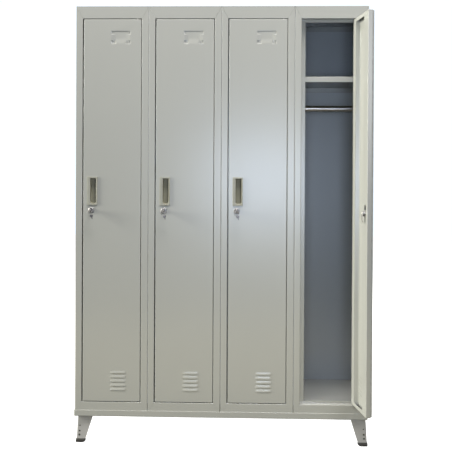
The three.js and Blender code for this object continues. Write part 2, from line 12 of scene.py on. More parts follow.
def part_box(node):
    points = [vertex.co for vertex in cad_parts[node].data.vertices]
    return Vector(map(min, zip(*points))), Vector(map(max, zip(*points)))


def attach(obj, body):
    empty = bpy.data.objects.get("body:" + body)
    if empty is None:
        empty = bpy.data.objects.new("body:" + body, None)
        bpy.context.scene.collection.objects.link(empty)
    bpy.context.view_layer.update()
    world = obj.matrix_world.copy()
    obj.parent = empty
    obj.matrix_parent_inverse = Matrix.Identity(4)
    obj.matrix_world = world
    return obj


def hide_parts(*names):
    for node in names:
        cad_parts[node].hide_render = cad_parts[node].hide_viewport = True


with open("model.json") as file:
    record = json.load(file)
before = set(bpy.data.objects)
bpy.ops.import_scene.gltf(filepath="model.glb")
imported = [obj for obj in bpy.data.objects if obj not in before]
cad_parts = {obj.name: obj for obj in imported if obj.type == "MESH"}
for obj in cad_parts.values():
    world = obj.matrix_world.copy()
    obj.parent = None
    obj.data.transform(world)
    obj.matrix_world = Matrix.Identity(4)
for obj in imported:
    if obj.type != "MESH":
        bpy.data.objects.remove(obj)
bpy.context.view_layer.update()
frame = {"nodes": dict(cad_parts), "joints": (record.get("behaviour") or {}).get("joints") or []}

MM = 0.001

# ---- Sheet metal ----
SHEET = 0.7 * MM
FRAME_SHEET = 0.9 * MM
PAN_SHEET = 1.2 * MM
FIT = 0.3 * MM  # gap between neighbours
EASE = 0.12 * MM  # cut ends of a sheet are eased by this much
BEND = 1.3 * MM  # radius of a fold, on the sheet's middle

# ---- Door frames ----
DOOR_GAP = 2.5 * MM
LATCH_GAP = 5 * MM
STOP_MIDDLE = 27.45 * MM  # middle of the stop lip, behind the frame's face
STOP_LIP = {"left": 17.5 * MM, "right": 15 * MM, "top": 13 * MM, "bottom": 10 * MM}
SEAM_RELIEF = 0.35 * MM  # each side of the seam between two frames
MITRE_RELIEF = 0.3 * MM  # each side of a mitre

# ---- Doors ----
DOOR_BEND = 1.6 * MM
DOOR_CORNER = 2.2 * MM
DOOR_LIP = 15 * MM
LATCH_TURN = 0.6  # share of the rear bend that the latch side turns in
HINGE_BOX = 45 * MM  # the hinge edge is folded into a box section this wide
HINGE_FOOT = 8 * MM
HINGE_SLANT = 4 * MM  # the box section's inner wall leans over by this much
CARD_OFFSET = 34 * MM  # from the door's centre, towards the hinge
CARD_Z = 1672 * MM
CARD_WIDTH = 83 * MM
CARD_HEIGHT = 56 * MM
CARD_TAB = 20 * MM
CARD_SIDE_TAB = 0.7 * CARD_TAB
CARD_SIDE_WALL = 0.2  # how steep the sides stay between their tabs, from 0 to 1
CARD_DEPTH = 1.8 * MM
CARD_WALL = 4.6 * MM  # across a pressed wall of the card's recess
CARD_FADE = 26 * MM  # across the recess's edge where it has no wall
CARD_CELL = 1.7 * MM
LOUVRES = 5
LOUVRE_PITCH = 17.5 * MM
LOUVRE_OFFSET = 27 * MM
LOUVRE_WIDTH = 65 * MM
LOUVRE_HEIGHT = 11 * MM
LOUVRE_RISE = 1.3 * MM
LOUVRE_LOWEST = 218 * MM
LOUVRE_SHOULDER = 15 * MM  # from a louvre's end to its full rise
LOUVRE_SWELL = 0.9  # the smaller, the fuller a louvre's upper edge
LOUVRE_CELLS = (44, 10)

# ---- Channel behind the latch side ----
CHANNEL_FOOT = 11 * MM
CHANNEL_TAB_GAP = 0.1 * MM
WINDOW_WIDTH = 26 * MM
WINDOW_HEIGHT = 21 * MM
WINDOW_ABOVE_LOCK = 12 * MM
WINDOW_CORNER = 5 * MM
CUTTER_REACH = 3 * MM  # each side of the sheet that it cuts

# ---- Handle ----
BEZEL_CORNER = 4 * MM
BEZEL_ROUND = 1.6 * MM
CUP_OFFSET = 4 * MM  # from the handle's centre, towards the hinge
CUP_WIDTH = 24 * MM
CUP_HEIGHT = 104 * MM
CUP_CORNER = 9.5 * MM  # the lower two
CUP_UPPER_CORNER = 2 * MM
CUP_ROOM = 5 * MM  # the hole in the door is this much wider and higher than the cup
CUP_RIM = 0.6 * MM  # from the bezel's face down to the cup's edge
CUP_WALL = 1.5 * MM  # from the cup's floor to the back of the handle
CUP_SHEET = 0.8 * CUP_WALL
CUP_SLOPE = 0.12  # share of the cup's width that its hinge-side wall leans over
# The cup's section: how far in from its outline, in millimetres, at a share of its depth.
CUP_SECTION = (
    (-0.9, -0.03), (-0.4, 0), (-0.2, 0.05), (0.1, 0.15), (0.6, 0.6), (1, 0.9), (1.8, 0.98), (3.4, 1))

# ---- Lock and key: round sizes are radii ----
LOCK_BODY = 9.5 * MM
LOCK_RIM = (1.6 * MM, 1.5 * MM)  # width and height of the flange's sloping rim
NUT = 4 * MM
NUT_REACH = 12.3 * MM  # from the axis to a corner
PLUG_BORE = 6.4 * MM
PLUG = 6 * MM
PLUG_SINK = 0.6 * MM  # behind the housing's face
KEYWAY = (2.4 * MM, 34 * MM, 9 * MM)
CAM_SHEET = 2 * MM
CAM_SCREW = 5 * MM
CAM_SCREW_HEAD = 2.4 * MM
KEY_THICKNESS = 1.8 * MM
KEY_BLADE = 7.6 * MM
KEY_NOSE = 2.5 * MM
KEY_CUTS = (0.9 * MM, 1.6 * MM, 0.9 * MM, 1.6 * MM)
RING_RADIUS = 10 * MM
RING_WIRE = 0.7 * MM
SPARE_SIZE = 0.58  # of the key in the lock
SPARE_BOW = 11 * MM * SPARE_SIZE
SPARE_THICKNESS = 1.2 * MM
SPARE_TILT = 14  # degrees
SPARE_ASIDE = 4.5 * MM

# ---- Legs and shoes ----
LEG_SHEET = 1.8 * MM
LEG_BEND = 3.2 * MM
LEG_INSET = 10 * MM
LEG_INSET_LEFT = 11 * MM
LEG_INSET_RIGHT = 3 * MM
LEG_SPLAY = 6 * MM
LEG_TOP_WING = 62 * MM
LEG_FOOT_WING = 33 * MM
LEG_HOLE_INSET = 11 * MM
LEG_HOLES = ((31 * MM, 4.2 * MM), (47 * MM, 4 * MM), (69 * MM, 3 * MM))  # height and radius
SCREW_SINK = 0.5 * MM
SCREW_HEAD = 2 * MM
SCREW_COLLAR = 1.4 * MM  # the head stands this much past its stem
PLATE_BOLT = 5 * MM
PLATE_BOLT_HEAD = 4 * MM
SHOE_WALL = 2.6 * MM
SHOE_SOLE = 3 * MM
SHOE_TOE = 9 * MM  # height of the rounding round the sole
SHOE_SOFT = 2.2 * MM
SHOE_ROOM = 0.35 * MM  # round the foot of the leg

# ---- Inside ----
RAIL_WALL = 1.2 * MM
SOCKET_SHEET = 1.4 * MM
SOCKET_WALL = 1.6 * MM
SOCKET_DEPTH = 11 * MM
SOCKET_SINK = 0.7 * MM  # the socket starts this much past the rail's end
SHELF_RETURN = 9 * MM
TOP_FLANGE_MARGIN = 4 * MM

# ---- Places taken from the frame ----
joints = {joint["name"]: joint for joint in frame["joints"]}
COLUMNS = sum(name.endswith("_hinge") for name in joints)
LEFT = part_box("side_panel_left")[0].x
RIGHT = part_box("side_panel_right")[1].x
PITCH = (RIGHT - LEFT) / COLUMNS
FRONT, BODY_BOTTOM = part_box("door_frame_1")[0].yz
FRAME_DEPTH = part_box("door_frame_1")[1].y - FRONT
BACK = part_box("back_panel")[1].y
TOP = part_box("top_panel")[1].z
LEG_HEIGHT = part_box("base_pan")[0].z
PIVOT = Vector((*joints["door_1_hinge"]["pos_m"][:2], 0))
LOCK = Vector(joints["lock_1_turn"]["pos_m"]) - PIVOT
PAN_LOW, PAN_HIGH = [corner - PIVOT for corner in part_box("door_panel_1")]
FACE = LOCK.y
REAR = PAN_HIGH.y


def column_left(column):
    return LEFT + (column - 1) * PITCH


def rest_angle(column):
    """How far a door stands open at rest, read from the direction of its lock."""
    x, y, _ = joints[f"lock_{column}_turn"]["axis"]
    return math.atan2(-x, y)


def door_place(column):
    x, y, _ = joints[f"door_{column}_hinge"]["pos_m"]
    return Matrix.Translation((x, y, 0)) @ Matrix.Rotation(rest_angle(column), 4, "Z")


def lock_place(column):
    at = joints[f"lock_{column}_turn"]["pos_m"]
    return Matrix.Translation(at) @ Matrix.Rotation(rest_angle(column), 4, "Z")


# ---- Outlines, as lists of 2-D points ----
def arc(centre, radius, start, end, steps):
    x, y = centre
    angles = [math.radians(start + (end - start) * i / steps) for i in range(steps + 1)]
    return [Vector((x + radius * math.cos(a), y + radius * math.sin(a))) for a in angles]


def circle(centre, radius, steps=32):
    return arc(centre, radius, 0, 360, steps)[:-1]


def rounded(points, radius, closed=True, steps=5):
    """An outline, or an open path, whose corners are turned in arcs."""
    corners = [Vector(point) for point in points]
    result = []
    for i, corner in enumerate(corners):
        if not closed and i in (0, len(corners) - 1):
            result.append(corner)
            continue
        before = corners[i - 1] - corner
        after = corners[(i + 1) % len(corners)] - corner
        half = before.angle(after) / 2
        reach = min(radius / math.tan(half), 0.49 * before.length, 0.49 * after.length)
        inward = (before.normalized() + after.normalized()).normalized()
        centre = corner + inward * (reach / math.cos(half))
        first = corner + before.normalized() * reach - centre
        last = corner + after.normalized() * reach - centre
        sweep = first.angle(last)
        for k in range(steps + 1):
            t = k / steps
            spoke = first * math.sin((1 - t) * sweep) + last * math.sin(t * sweep)
            result.append(centre + spoke / math.sin(sweep))
    return result


def rectangle(left, right, low, high):
    return [(left, low), (right, low), (right, high), (left, high)]


def pocket(centre, width, height, upper, lower, steps=8):
    """A rectangle whose lower corners are rounder than its upper ones."""
    x, z = centre
    right, left, top, low = x + width / 2, x - width / 2, z + height / 2, z - height / 2
    outline = arc((left + lower, low + lower), lower, 180, 270, steps)
    outline += arc((right - lower, low + lower), lower, 270, 360, steps)
    outline += arc((right - upper, top - upper), upper, 0, 90, steps)
    return outline + arc((left + upper, top - upper), upper, 90, 180, steps)


# ---- Mesh building ----
def add_rings(bm, rings):
    """Joins rings of as many points with four-sided faces, and returns their vertices."""
    loops = [[bm.verts.new(point) for point in ring] for ring in rings]
    for first, second in zip(loops, loops[1:]):
        for i in range(len(first)):
            j = (i + 1) % len(first)
            bm.faces.new((first[i], first[j], second[j], second[i]))
    return loops


def fill(bm, loops):
    """Fills a flat outline, the first loop, round the holes in the others."""
    edges = []
    for loop in loops:
        for first, second in zip(loop, loop[1:] + loop[:1]):
            edges.append(bm.edges.get((first, second)) or bm.edges.new((first, second)))
    bmesh.ops.triangle_fill(bm, use_beauty=True, use_dissolve=False, edges=edges)


def add_capped(bm, rings):
    """Joins rings, and fills the first and the last one."""
    loops = add_rings(bm, rings)
    fill(bm, [loops[0]])
    fill(bm, [loops[-1]])


def add_sheet(bm, path, thickness, start, end, place):
    """Adds a folded sheet. Its middle follows a path of (u, v) points, and it runs from
    start(u) to end(u) along w. place turns (u, v, w) into a position."""
    faces = ([], [])
    for i, here in enumerate(path):
        before = here - path[i - 1] if i else path[1] - here
        after = path[i + 1] - here if i + 1 < len(path) else before
        first = Vector((-before.y, before.x)).normalized()
        mitre = first + Vector((-after.y, after.x)).normalized()
        step = mitre / mitre.dot(first)
        for side, face in zip((1, -1), faces):
            face.append((here, step * side))
    half = thickness / 2
    section = faces[0] + faces[1][::-1]
    thin = half - EASE
    rings = []
    for along, shift, reach in ((start, 0, thin), (start, EASE, half), (end, -EASE, half), (end, 0, thin)):
        rings.append([place(*(here + step * reach), along(here.x) + shift) for here, step in section])
    loops = add_rings(bm, rings)
    for loop in (loops[0], loops[-1]):
        for i in range(len(path) - 1):
            bm.faces.new((loop[i], loop[i + 1], loop[-2 - i], loop[-1 - i]))


def add_turned(bm, profile, place, steps=40):
    """Adds a solid turned round an axis from (radius, along) points. It closes on the axis
    where a radius is nought, and otherwise on itself."""
    closed = profile[0][0] > 0
    loops = []
    for radius, along in profile + profile[:1] if closed else profile:
        count = steps if radius > 0 else 1
        turns = [2 * math.pi * i / steps for i in range(count)]
        spokes = [(radius * math.cos(a), radius * math.sin(a)) for a in turns]
        loops.append([bm.verts.new(place(u, v, along)) for u, v in spokes])
    for first, second in zip(loops, loops[1:]):
        for i in range(steps):
            order = ((first, i), (first, i + 1), (second, i + 1), (second, i))
            corners = [loop[k % len(loop)] for loop, k in order]
            bm.faces.new(list(dict.fromkeys(corners)))
    if closed:
        bmesh.ops.remove_doubles(bm, verts=loops[0] + loops[-1], dist=1e-6)


def eased(profile, radius, steps=3):
    """A turned profile with its corners rounded."""
    closed = profile[0][0] > 0
    return [tuple(point) for point in rounded(profile, radius, closed, steps)]


def add_plate(bm, outline, holes, place, depth, ease):
    """Adds a flat plate with eased edges, between w = 0 and w = depth."""
    loops = []
    for hole, points in enumerate([outline, *holes]):
        count = len(points)
        inward = []
        for i in range(count):
            along = (points[(i + 1) % count] - points[i - 1]).normalized()
            inward.append(Vector((-along.y, along.x)))
        turning = sum(a.cross(b) for a, b in zip(points, points[1:] + points[:1]))
        sign = (1 if turning > 0 else -1) * (-1 if hole else 1)
        rings = []
        for inset, w in ((ease, 0), (0, ease), (0, depth - ease), (ease, depth)):
            rings.append([place(*(p + n * sign * inset), w) for p, n in zip(points, inward)])
        loops.append(add_rings(bm, rings))
    fill(bm, [loop[0] for loop in loops])
    fill(bm, [loop[-1] for loop in loops])


def new_object(name, data):
    thing = bpy.data.objects.new(name, data)
    bpy.context.scene.collection.objects.link(thing)
    return thing


def made(name, bm, place=None):
    """An object of a bmesh, with its faces pointing out."""
    bmesh.ops.recalc_face_normals(bm, faces=bm.faces)
    mesh = bpy.data.meshes.new(name)
    bm.to_mesh(mesh)
    bm.free()
    if place is not None:
        mesh.transform(place)
    return new_object(name, mesh)


def apply_modifiers(piece):
    bpy.context.view_layer.update()
    graph = bpy.context.evaluated_depsgraph_get()
    mesh = bpy.data.meshes.new_from_object(piece.evaluated_get(graph))
    piece.modifiers.clear()
    piece.data = mesh


def thicken(piece, thickness):
    """Gives a surface its thickness, behind the side that it shows."""
    solid = piece.modifiers.new("thickness", "SOLIDIFY")
    solid.thickness = thickness
    solid.offset = -1
    solid.use_even_offset = True
    apply_modifiers(piece)


def cut(piece, bm):
    """Cuts a closed shape out of a piece."""
    tool = made("cutter", bm)
    difference = piece.modifiers.new("cut", "BOOLEAN")
    difference.operation = "DIFFERENCE"
    difference.solver = "EXACT"
    difference.object = tool
    apply_modifiers(piece)
    bpy.data.objects.remove(tool)


def finish(piece, material, slot, body, *nodes, smooth=38):
    """Shades, paints and attaches a piece, and hides the CAD nodes that it stands for."""
    mesh = piece.data
    mesh.polygons.foreach_set("use_smooth", [True] * len(mesh.polygons))
    mesh.set_sharp_from_angle(angle=math.radians(smooth))
    normals = piece.modifiers.new("normals", "WEIGHTED_NORMAL")
    normals.keep_sharp = True
    normals.weight = 90
    mesh.materials.clear()
    mesh.materials.append(material)
    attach(piece, body)
    if nodes:
        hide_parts(*nodes)


# ---- Materials ----
def new_node(tree, kind, inputs=None, **settings):
    """Adds a node. An input is a constant, or another node's output to link."""
    node = tree.nodes.new(kind)
    for key, value in settings.items():
        setattr(node, key, value)
    for key, value in (inputs or {}).items():
        if isinstance(value, bpy.types.NodeSocket):
            tree.links.new(value, node.inputs[key])
        else:
            node.inputs[key].default_value = value
    return node


def noise(tree, place, scale, detail=2.0, rough=0.5):
    settings = {"Vector": place, "Scale": scale, "Detail": detail, "Roughness": rough}
    return new_node(tree, "ShaderNodeTexNoise", settings).outputs[0]


def spread(tree, value, low, high, to_low, to_high):
    limits = {"Value": value, "From Min": low, "From Max": high, "To Min": to_low, "To Max": to_high}
    return new_node(tree, "ShaderNodeMapRange", limits).outputs[0]


def blend(tree, factor, first, second):
    inputs = {0: factor, 6: first, 7: second}
    return new_node(tree, "ShaderNodeMix", inputs, data_type="RGBA").outputs[2]


def multiply(tree, first, second):
    inputs = {0: first, 1: second}
    return new_node(tree, "ShaderNodeMath", inputs, operation="MULTIPLY").outputs[0]


def edge_mask(tree, radius):
    """One at convex and concave edges, nought on open faces."""
    soft = new_node(tree, "ShaderNodeBevel", {"Radius": radius}, samples=4).outputs[0]
    sharp = new_node(tree, "ShaderNodeNewGeometry").outputs["Normal"]
    same = new_node(tree, "ShaderNodeVectorMath", {0: soft, 1: sharp}, operation="DOT_PRODUCT")
    return spread(tree, same.outputs["Value"], 0.97, 0.8, 0.0, 1.0)


def rgb(red, green, blue):
    """A colour for a shader's socket, with its alpha."""
    return (red, green, blue, 1)


def base_material(name, metallic=0.0):
    material = bpy.data.materials.new(name)
    material.use_nodes = True
    tree = material.node_tree
    shader = tree.nodes["Principled BSDF"]
    shader.inputs["Metallic"].default_value = metallic
    place = new_node(tree, "ShaderNodeTexCoord").outputs["Object"]
    return material, tree, shader, place


def set_surface(tree, shader, tone, gloss):
    tree.links.new(tone, shader.inputs["Base Color"])
    tree.links.new(gloss, shader.inputs["Roughness"])


def bump(tree, shader, *layers):
    """Stacks bump layers of (height, strength, distance)."""
    normal = None
    for height, strength, distance in layers:
        inputs = {"Height": height, "Strength": strength, "Distance": distance}
        if normal is not None:
            inputs["Normal"] = normal
        normal = new_node(tree, "ShaderNodeBump", inputs).outputs[0]
    tree.links.new(normal, shader.inputs["Normal"])


def painted(name, shade, deep, worn, roughness):
    """Powder coat: orange peel, a broad drift of tone, fine specks and thin worn edges, on a
    sheet that isn't quite flat."""
    material, tree, shader, place = base_material(name)
    drift = spread(tree, noise(tree, place, 2.6, 3.0), 0.35, 0.65, 0.0, 1.0)
    tone = blend(tree, drift, shade, deep)
    speck = spread(tree, noise(tree, place, 900.0, 1.0), 0.62, 0.72, 0.0, 0.22)
    tone = blend(tree, speck, tone, deep)
    patches = spread(tree, noise(tree, place, 46.0, 4.0, 0.7), 0.42, 0.68, 0.0, 0.75)
    wear = multiply(tree, edge_mask(tree, 0.9 * MM), patches)
    handled = noise(tree, place, 17.0, 5.0, 0.65)
    gloss = spread(tree, handled, 0.3, 0.7, roughness, roughness + 0.003)
    set_surface(tree, shader, blend(tree, wear, tone, worn), gloss)
    peel = noise(tree, place, 430.0, 2.0)
    waves = noise(tree, place, 5.0, 1.0)
    bump(tree, shader, (waves, 0.002, 0.02), (peel, 0.012, 0.0003))
    return material


def plated(name, shade, tint, roughness, grain):
    """Plated metal: a faint tint, smears, fine lines and pits."""
    material, tree, shader, place = base_material(name, metallic=1.0)
    smear = spread(tree, noise(tree, place, 60.0, 4.0, 0.6), 0.35, 0.7, 0.0, 1.0)
    gloss = spread(tree, smear, 0.0, 1.0, roughness, roughness + 0.03)
    set_surface(tree, shader, blend(tree, smear, shade, tint), gloss)
    lines = noise(tree, place, 2400.0, 2.0)
    pits = noise(tree, place, 300.0, 3.0)
    bump(tree, shader, (lines, grain, 0.0001), (pits, grain, 0.0002))
    return material


def zinced(name):
    """Dull zinc plate with crystals of slightly different tones."""
    material, tree, shader, place = base_material(name, metallic=1.0)
    crystals = new_node(tree, "ShaderNodeTexVoronoi", {"Vector": place, "Scale": 420.0})
    flake = new_node(tree, "ShaderNodeSeparateColor", {0: crystals.outputs["Color"]}).outputs[0]
    tone = blend(tree, flake, rgb(0.38, 0.37, 0.33), rgb(0.6, 0.59, 0.55))
    dull = spread(tree, noise(tree, place, 80.0, 4.0), 0.4, 0.7, 0.0, 0.7)
    tone = blend(tree, dull, tone, rgb(0.33, 0.3, 0.25))
    set_surface(tree, shader, tone, spread(tree, flake, 0.0, 1.0, 0.3, 0.48))
    bump(tree, shader, (noise(tree, place, 700.0, 3.0), 0.25, 0.0002))
    return material


def moulded(name, shade, deep, bright, roughness, pebble):
    """Moulded plastic with a fine pebbled skin, rubbed brighter along its edges."""
    material, tree, shader, place = base_material(name)
    drift = spread(tree, noise(tree, place, 38.0, 3.0), 0.35, 0.65, 0.0, 1.0)
    tone = blend(tree, drift, shade, deep)
    patches = spread(tree, noise(tree, place, 90.0, 3.0), 0.4, 0.65, 0.1, 0.6)
    rubbed = multiply(tree, edge_mask(tree, 0.7 * MM), patches)
    gloss = spread(tree, drift, 0.0, 1.0, roughness - 0.05, roughness + 0.1)
    set_surface(tree, shader, blend(tree, rubbed, tone, bright), gloss)
    pebbles = new_node(tree, "ShaderNodeTexVoronoi", {"Vector": place, "Scale": pebble})
    fine = noise(tree, place, 2600.0, 1.0)
    bump(tree, shader, (pebbles.outputs["Distance"], 0.2, 0.0002), (fine, 0.1, 0.0001))
    return material


PAINT = painted(
    "powder_coat", rgb(0.312, 0.312, 0.282), rgb(0.306, 0.306, 0.277), rgb(0.4, 0.4, 0.37), 0.26)
INSIDE = painted(
    "inside_coat", rgb(0.345, 0.358, 0.362), rgb(0.337, 0.35, 0.354), rgb(0.37, 0.38, 0.38), 0.36)
# The legs' coat, a little mauve and slightly darker than the body's: the darkening is painted shade on the
# legs.
LEG_PAINT_SHADED = painted(
    "leg_coat_shaded", rgb(0.305, 0.298, 0.286), rgb(0.298, 0.291, 0.279), rgb(0.35, 0.345, 0.33), 0.34)
CHROME = plated("chrome_plate", rgb(0.5, 0.47, 0.44), rgb(0.45, 0.42, 0.39), 0.3, 0.006)
NICKEL = plated("dull_nickel", rgb(0.3, 0.29, 0.285), rgb(0.24, 0.23, 0.22), 0.55, 0.03)
# A darker nickel for the hanging spare key: painted shade.
NICKEL_PAINTED_SHADE = plated("nickel_painted_shade", rgb(0.17, 0.155, 0.15), rgb(0.13, 0.12, 0.115), 0.4, 0.03)
# Near-black steel for the leg screws, whose stems fill the leg's holes: the dark tone also paints the
# shade in the holes.
DARK_STEEL_HOLE_SHADE = plated("dark_steel_hole_shade", rgb(0.1, 0.097, 0.085), rgb(0.06, 0.058, 0.05), 0.5, 0.1)
ZINC = zinced("zinc_plate")
OLIVE = moulded(
    "olive_plastic", rgb(0.258, 0.254, 0.208), rgb(0.24, 0.236, 0.193), rgb(0.33, 0.32, 0.28), 0.5, 1300.0)
# A darker olive for the walls and floor of the handle's cup: painted shade in the recess.
OLIVE_PAINTED_SHADE = moulded(
    "olive_painted_shade", rgb(0.185, 0.174, 0.118), rgb(0.168, 0.158, 0.106), rgb(0.2, 0.19, 0.15), 0.55, 1300.0)
BLACK = moulded(
    "black_plastic", rgb(0.02, 0.018, 0.016), rgb(0.03, 0.028, 0.024), rgb(0.12, 0.11, 0.1), 0.55, 900.0)


# ---- Shell ----
def along_z(x, y, z):
    return Vector((x, y, z))


def along_x(y, z, x):
    return Vector((x, y, z))


def sheet_piece(name, path, start, end, place, material, slot, node):
    bm = bmesh.new()
    add_sheet(bm, rounded(path, BEND, False), SHEET, lambda _: start, lambda _: end, place)
    finish(made(name, bm), material, slot, "cabinet", node)


def add_wall(name, material, slot, node):
    """A flat upright sheet along the cabinet's depth."""
    low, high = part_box(node)
    x = (low.x + high.x) / 2
    sheet_piece(name, [(x, low.y), (x, high.y)], low.z, high.z, along_z, material, slot, node)


def add_shell():
    half = SHEET / 2
    for side in ("left", "right"):
        add_wall(f"side_sheet_{side}", PAINT, "paint", f"side_panel_{side}")
    low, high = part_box("back_panel")
    left, right, rear = low.x + half, high.x - half, high.y - half
    path = [(left, low.y), (left, rear), (right, rear), (right, low.y)]
    sheet_piece("back_sheet", path, low.z, high.z, along_z, INSIDE, "paint", "back_panel")
    for number in range(1, COLUMNS):
        add_wall(f"partition_{number}_sheet", INSIDE, "inside_paint", f"partition_{number}")
    low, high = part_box("floor_panel")
    front, rear, top = low.y + half, high.y - half, high.z - half
    path = [(front, low.z), (front, top), (rear, top), (rear, low.z)]
    sheet_piece("floor_sheet", path, low.x, high.x, along_x, PAINT, "inside_paint", "floor_panel")
    add_top()
    add_base_pan()


def add_top():
    """The top sheet, with a flange turned down behind each column."""
    low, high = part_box("top_panel")
    half = SHEET / 2
    bm = bmesh.new()
    path = [Vector((low.y, high.z - half)), Vector((high.y, high.z - half))]
    add_sheet(bm, path, SHEET, lambda _: low.x, lambda _: high.x, along_x)
    flange_y = BACK - SHEET - FIT - half
    path = [Vector((flange_y, high.z - SHEET)), Vector((flange_y, low.z))]
    for column in range(1, COLUMNS + 1):
        start = column_left(column) + TOP_FLANGE_MARGIN
        end = start + PITCH - 2 * TOP_FLANGE_MARGIN
        add_sheet(bm, path, SHEET, lambda _: start, lambda _: end, along_x)
    finish(made("top_sheet", bm), PAINT, "paint", "cabinet", "top_panel")


def add_base_pan():
    """A tray with a rounded fold along its bottom and a hem round its rim."""
    low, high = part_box("base_pan")
    corner = 3 * MM
    least_corner = 0.4 * MM
    fold = 2.2 * MM
    hem = 1.8 * MM
    hem_edge = 0.3 * MM
    hem_foot = high.z - 9 * MM
    centre = (fold, low.z + fold)
    outside = [(hem, hem_foot), (hem, high.z - hem_edge), (hem - hem_edge, high.z)]
    outside += arc((hem / 2, high.z - hem / 2), hem / 2, 90, 180, 5)
    outside += arc(centre, fold, 180, 270, 6)
    inside = [(PAN_SHEET, hem_foot)] + arc(centre, fold - PAN_SHEET, 180, 270, 4)
    bm = bmesh.new()

    def ring(inset, z):
        bounds = rectangle(low.x + inset, high.x - inset, low.y + inset, high.y - inset)
        radius = corner - min(inset, corner - least_corner)
        return [Vector((x, y, z)) for x, y in rounded(bounds, radius)]

    add_capped(bm, [ring(*point) for point in inside[::-1] + outside])
    finish(made("base_tray", bm), PAINT, "paint", "cabinet", "base_pan")


# ---- Door frames ----
def add_frame(column):
    """Four folded members with mitred ends: face, outer return, jamb and stop lip."""
    left = column_left(column)
    right = left + PITCH
    shift = PITCH * (column - 1)
    opening_left = PIVOT.x + PAN_LOW.x - LATCH_GAP + shift
    opening_right = PIVOT.x + PAN_HIGH.x + DOOR_GAP + shift
    width = {
        "left": opening_left - left,
        "right": right - opening_right,
        "bottom": PAN_LOW.z - DOOR_GAP - BODY_BOTTOM,
        "top": TOP - PAN_HIGH.z - DOOR_GAP,
    }
    half = FRAME_SHEET / 2
    places = {
        "left": lambda u, v, w: Vector((left + u, FRONT + v, w)),
        "right": lambda u, v, w: Vector((right - u, FRONT + v, w)),
        "bottom": lambda u, v, w: Vector((w, FRONT + v, BODY_BOTTOM + u)),
        "top": lambda u, v, w: Vector((w, FRONT + v, TOP - u)),
    }
    upright = (BODY_BOTTOM, TOP, "bottom", "top")
    level = (left, right, "left", "right")
    ends = {"left": upright, "right": upright, "bottom": level, "top": level}

    def mitre(side, other, u):
        """How far in from the frame's corner a member ends, at u from its outer edge."""
        if u <= width[side]:
            return u * width[other] / width[side]
        return width[other] + (u - width[side]) * STOP_LIP[other] / STOP_LIP[side]

    bm = bmesh.new()
    outer_sides = {"left": column == 1, "right": column == COLUMNS, "top": True, "bottom": False}
    for side, place in places.items():
        inner = width[side] - half
        lip = [(inner, half), (inner, STOP_MIDDLE), (inner + STOP_LIP[side], STOP_MIDDLE)]
        low, high, before, after = ends[side]
        start = lambda u: low + mitre(side, before, u) + MITRE_RELIEF
        end = lambda u: high - mitre(side, after, u) - MITRE_RELIEF
        if outer_sides[side]:
            add_sheet(bm, rounded([(0, half), *lip], BEND, False), FRAME_SHEET, start, end, place)
            edge = SHEET + FIT + half
            back = [Vector((edge, FRAME_SHEET)), Vector((edge, FRAME_DEPTH))]
            add_sheet(bm, back, FRAME_SHEET, start, end, place)
        else:
            edge = (0 if side == "bottom" else FIT + SEAM_RELIEF) + half
            path = rounded([(edge, FRAME_DEPTH), (edge, half), *lip], BEND, False)
            add_sheet(bm, path, FRAME_SHEET, start, end, place)
    finish(made(f"frame_folds_{column}", bm), PAINT, "paint", "cabinet", f"door_frame_{column}")


# ---- Doors ----
def grid_patch(bm, left, right, low, high, columns, rows, depth_at):
    """A grid over a rectangle of the door's face, pushed in by depth_at(x, z)."""
    grid = []
    for r in range(rows + 1):
        z = low + (high - low) * r / rows
        row = [left + (right - left) * c / columns for c in range(columns + 1)]
        grid.append([bm.verts.new((x, FACE + depth_at(x, z), z)) for x in row])
    for r in range(rows):
        for c in range(columns):
            bm.faces.new((grid[r][c], grid[r][c + 1], grid[r + 1][c + 1], grid[r + 1][c]))
    return grid


def add_card_frame(bm):
    """A shallow recess for a card. Its edge is a pressed wall along the top and at the four
    corners, and fades out between them. Returns the outline of its hole."""
    x = (PAN_LOW.x + PAN_HIGH.x) / 2 + CARD_OFFSET
    half, rise = CARD_WIDTH / 2, CARD_HEIGHT / 2

    def climb(distance, walled):
        wall = CARD_FADE + (CARD_WALL - CARD_FADE) * walled
        t = max(0.0, min(1.0, distance / wall))
        return t * t * (3 - 2 * t)

    def depth_at(px, pz):
        u, v = px - x, pz - CARD_Z
        near_side = 1.0 if abs(u) > half - CARD_TAB else 0.0
        near_end = 1.0 if abs(v) > rise - CARD_SIDE_TAB else CARD_SIDE_WALL
        top = climb(rise - v, 1.0)
        bottom = climb(v + rise, near_side)
        sides = climb(half - abs(u), near_end)
        return CARD_DEPTH * top * bottom * sides

    columns, rows = round(CARD_WIDTH / CARD_CELL), round(CARD_HEIGHT / CARD_CELL)
    grid = grid_patch(bm, x - half, x + half, CARD_Z - rise, CARD_Z + rise, columns, rows, depth_at)
    sides = [[row[-1] for row in grid], grid[-1][::-1], [row[0] for row in grid][::-1]]
    return grid[0][:-1] + sides[0][:-1] + sides[1][:-1] + sides[2][:-1]


def add_louvre(bm, low):
    """A pressed hood, open along its lower edge; returns the outline of its hole."""
    x = (PAN_LOW.x + PAN_HIGH.x) / 2 + LOUVRE_OFFSET
    half = LOUVRE_WIDTH / 2

    def depth_at(px, pz):
        drop = max(0.0, 1 - (pz - low) / LOUVRE_HEIGHT)
        inward = max(0.0, min(1.0, (half - abs(px - x)) / LOUVRE_SHOULDER))
        shoulder = math.sqrt(max(0.0, 1 - (1 - inward) ** 2))
        return -LOUVRE_RISE * shoulder * math.sin(math.pi / 2 * drop) ** LOUVRE_SWELL

    grid = grid_patch(bm, x - half, x + half, low, low + LOUVRE_HEIGHT, *LOUVRE_CELLS, depth_at)
    right = [row[-1] for row in grid]
    left = [row[0] for row in grid]
    return right + grid[-1][-2:0:-1] + left[::-1]


